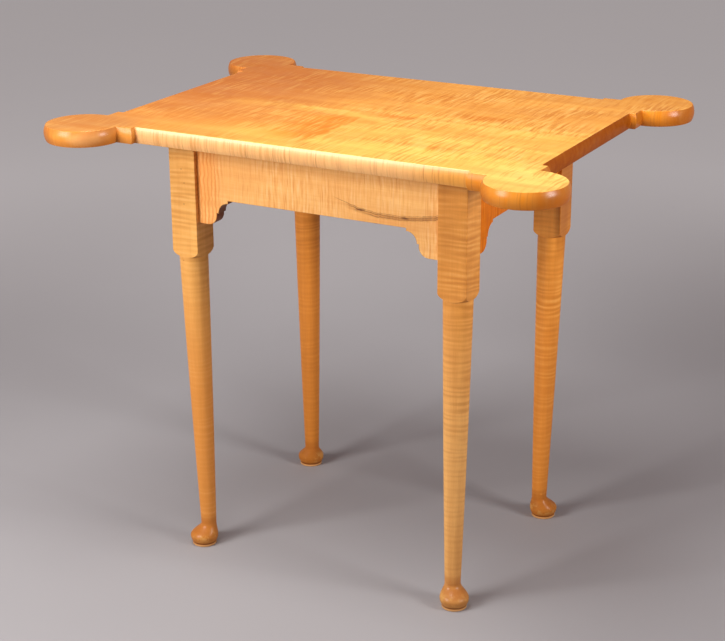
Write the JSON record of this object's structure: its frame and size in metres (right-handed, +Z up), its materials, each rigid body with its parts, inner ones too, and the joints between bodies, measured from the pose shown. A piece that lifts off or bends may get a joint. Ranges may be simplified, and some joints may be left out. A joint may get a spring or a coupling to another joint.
{
  "type": "porringer table",
  "caption": "Small rectangular tea table whose top has round projecting corners, with bracketed aprons and slender turned legs on pad feet; holds a tray, lamp or cups.",
  "frame": {"origin": "on the floor, under the middle of the table", "axes": "+X along the table's length, +Y from the front to the back, +Z up"},
  "size_m": [0.7818, 0.5913, 0.66],
  "materials": {
    "maple_top": "satin varnish",
    "maple_leg": "satin varnish",
    "maple_apron": "satin varnish",
    "maple_button": "bare wood",
    "screw_steel": "plain"
  },
  "bodies": {
    "root": {"top_board_front": "maple_top", "top_board_back": "maple_top", "leg_front_left": "maple_leg", "leg_front_right": "maple_leg", "leg_back_left": "maple_leg", "leg_back_right": "maple_leg", "apron_front": "maple_apron", "apron_back": "maple_apron", "apron_left": "maple_apron", "apron_right": "maple_apron", "button_front_left": "maple_button", "button_front_middle": "maple_button", "button_front_right": "maple_button", "button_back_left": "maple_button", "button_back_middle": "maple_button", "button_back_right": "maple_button", "button_left_front": "maple_button", "button_left_back": "maple_button", "button_right_front": "maple_button", "button_right_back": "maple_button", "button_screws": "screw_steel"}
  },
  "joints": []
}
